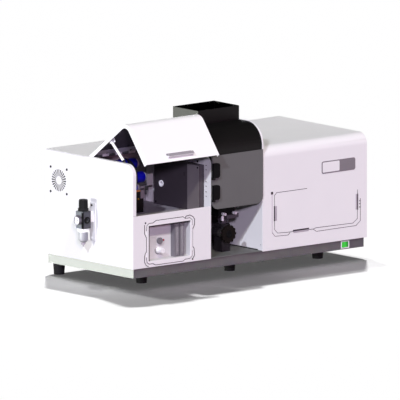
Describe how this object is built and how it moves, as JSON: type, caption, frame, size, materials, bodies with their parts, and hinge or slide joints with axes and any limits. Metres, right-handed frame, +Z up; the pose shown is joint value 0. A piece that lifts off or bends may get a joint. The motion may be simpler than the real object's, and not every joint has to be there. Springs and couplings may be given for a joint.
{
  "type": "flame atomic absorption spectrometer",
  "caption": "Long bench spectrometer: lamp housing with raised lid and turret, burner bay with hood, chimney and flame door, closed optics housing, gas panel and air regulator.",
  "frame": {"origin": "on the bench under the middle of the bounding box", "axes": "+X along the width from the lamp housing to the closed housing, +Y from front to back, +Z up"},
  "size_m": [1.09, 0.5384, 0.5495],
  "materials": {
    "powder_coat_white": "fine powder coat",
    "powder_coat_grey": "fine powder coat",
    "powder_coat_black": "baked matt paint",
    "galvanised_steel": "plain sheet",
    "black_rubber": "moulded",
    "black_plastic": "moulded",
    "grey_plastic": "moulded",
    "white_plastic": "moulded",
    "green_plastic": "moulded, lit from behind",
    "blue_sleeve": "printed sleeve",
    "orange_base": "moulded",
    "turned_aluminium": "turned",
    "turned_steel": "turned",
    "zinc_casting": "cast and painted",
    "clear_bowl": "clear moulding",
    "brass_fitting": "turned",
    "circuit_board": "green mask"
  },
  "bodies": {
    "chassis": {"rubber_feet": "black_rubber", "base_tray": "powder_coat_grey", "deck_plate": "powder_coat_grey", "switch_bezel": "white_plastic", "left_side_panel": "powder_coat_white", "left_inner_wall": "powder_coat_white", "left_top_panel": "powder_coat_white", "left_front_panel": "powder_coat_white", "gas_recess_tray": "powder_coat_white", "flowmeter_blocks": "grey_plastic", "lamp_room_liner": "powder_coat_grey", "optics_housing": "powder_coat_grey", "aperture_ring": "white_plastic", "hinge_fixed_leaf": "galvanised_steel", "turret_stand": "powder_coat_black", "fan_frame": "black_plastic", "regulator_bracket": "galvanised_steel", "regulator_body": "zinc_casting", "gauge_case": "white_plastic", "filter_bowl": "clear_bowl", "bay_rear_cover": "powder_coat_grey", "hood": "powder_coat_black", "chimney": "powder_coat_black", "door_hinge_brackets": "powder_coat_black", "lift_column": "turned_aluminium", "right_cover": "powder_coat_white", "right_end_panel": "powder_coat_white", "right_inner_wall": "powder_coat_white", "rear_panel": "powder_coat_white", "power_inlet": "black_plastic", "gas_inlets": "brass_fitting", "monochromator_bed": "zinc_casting", "control_board": "circuit_board"},
    "lid": {"lamp_lid": "powder_coat_white", "lid_handle": "white_plastic", "lid_hinge_leaf": "galvanised_steel"},
    "strut_tube": {"strut_cylinder": "white_plastic"},
    "strut_plunger": {"strut_rod": "turned_steel"},
    "door": {"flame_door": "powder_coat_grey", "door_knuckles": "black_plastic"},
    "rocker": {"power_rocker": "green_plastic"},
    "button": {"ignition_button": "grey_plastic"},
    "gas_control": {"gas_knob": "white_plastic"},
    "fuel_meter": {"fuel_float": "turned_aluminium"},
    "air_meter": {"air_float": "turned_aluminium"},
    "pressure_knob": {"regulator_knob": "black_plastic"},
    "needle": {"gauge_needle": "black_plastic"},
    "drain": {"drain_cock": "black_plastic"},
    "fan": {"fan_rotor": "black_plastic"},
    "turret": {"turret_drum": "black_plastic", "lamp_bodies": "blue_sleeve", "lamp_bases": "orange_base"},
    "burner": {"burner_carriage": "zinc_casting", "spray_chamber": "black_plastic", "burner_head": "turned_aluminium", "nebuliser": "turned_steel", "thumb_nuts": "white_plastic"},
    "lift_drive": {"handwheel": "black_plastic", "pinion_shaft": "turned_steel"},
    "grating": {"grating_table": "turned_aluminium"}
  },
  "joints": [
    {"name": "lid_hinge", "type": "hinge", "parent": "chassis", "child": "lid", "pos_m": [-0.305, 0.02417, 0.4155], "axis": [1, 0, 0], "range_deg": [0, 37]},
    {"name": "strut_pivot", "type": "hinge", "parent": "chassis", "child": "strut_plunger", "pos_m": [-0.451, -0.19283, 0.375], "axis": [1, 0, 0], "range_deg": [-24.41, 0]},
    {"name": "strut_slide", "type": "slide", "parent": "strut_plunger", "child": "strut_tube", "axis": [0, 0.739, 0.6737], "range_m": [-0.05475, 0]},
    {"name": "door_hinge", "type": "hinge", "parent": "chassis", "child": "door", "pos_m": [-0.13, -0.22483, 0.325], "axis": [0, 0, 1], "range_deg": [-105, 0]},
    {"name": "rocker_pivot", "type": "hinge", "parent": "chassis", "child": "rocker", "pos_m": [0.455, -0.20233, 0.054], "axis": [0, 0, 1], "range_deg": [-16, 0]},
    {"name": "button_press", "type": "slide", "parent": "chassis", "child": "button", "axis": [0, 1, 0], "range_m": [0, 0.003], "stiffness_N_per_m": 300},
    {"name": "gas_knob_turn", "type": "hinge", "parent": "chassis", "child": "gas_control", "pos_m": [-0.338, -0.18283, 0.118], "axis": [0, 1, 0], "range_deg": [0, 270]},
    {"name": "fuel_float_rise", "type": "slide", "parent": "chassis", "child": "fuel_meter", "axis": [0, 0, 1], "range_m": [0, 0.086]},
    {"name": "air_float_rise", "type": "slide", "parent": "chassis", "child": "air_meter", "axis": [0, 0, 1], "range_m": [0, 0.086]},
    {"name": "pressure_knob_turn", "type": "hinge", "parent": "chassis", "child": "pressure_knob", "pos_m": [-0.515, -0.00783, 0.265], "axis": [0, 0, 1], "range_deg": [-360, 360]},
    {"name": "needle_turn", "type": "hinge", "parent": "chassis", "child": "needle", "pos_m": [-0.543, -0.00783, 0.217], "axis": [1, 0, 0], "range_deg": [0, 270], "stiffness_Nm_per_rad": 0.001},
    {"name": "drain_turn", "type": "hinge", "parent": "chassis", "child": "drain", "pos_m": [-0.515, -0.00783, 0.138], "axis": [0, 0, 1], "range_deg": [0, 90]},
    {"name": "fan_spin", "type": "hinge", "parent": "chassis", "child": "fan", "pos_m": [-0.461, 0.16417, 0.323], "axis": [1, 0, 0], "continuous": true},
    {"name": "turret_turn", "type": "hinge", "parent": "chassis", "child": "turret", "pos_m": [-0.355, 0.01217, 0.338], "axis": [1, 0, 0], "continuous": true},
    {"name": "burner_lift", "type": "slide", "parent": "chassis", "child": "burner", "axis": [0, 0, 1], "range_m": [-0.008, 0.008]},
    {"name": "handwheel_turn", "type": "hinge", "parent": "chassis", "child": "lift_drive", "pos_m": [-0.029, -0.17983, 0.138], "axis": [0, 1, 0], "range_deg": [-51.5, 51.5]},
    {"name": "grating_turn", "type": "hinge", "parent": "chassis", "child": "grating", "pos_m": [0.24, 0.07217, 0.252], "axis": [0, 0, 1], "range_deg": [-25, 25]}
  ],
  "couplings": [
    {"joint": "strut_pivot", "follows": "lid_hinge", "ratio": -0.65853},
    {"joint": "strut_slide", "follows": "lid_hinge", "m_per_rad": -0.084623},
    {"joint": "handwheel_turn", "follows": "burner_lift", "rad_per_m": -111.11}
  ]
}
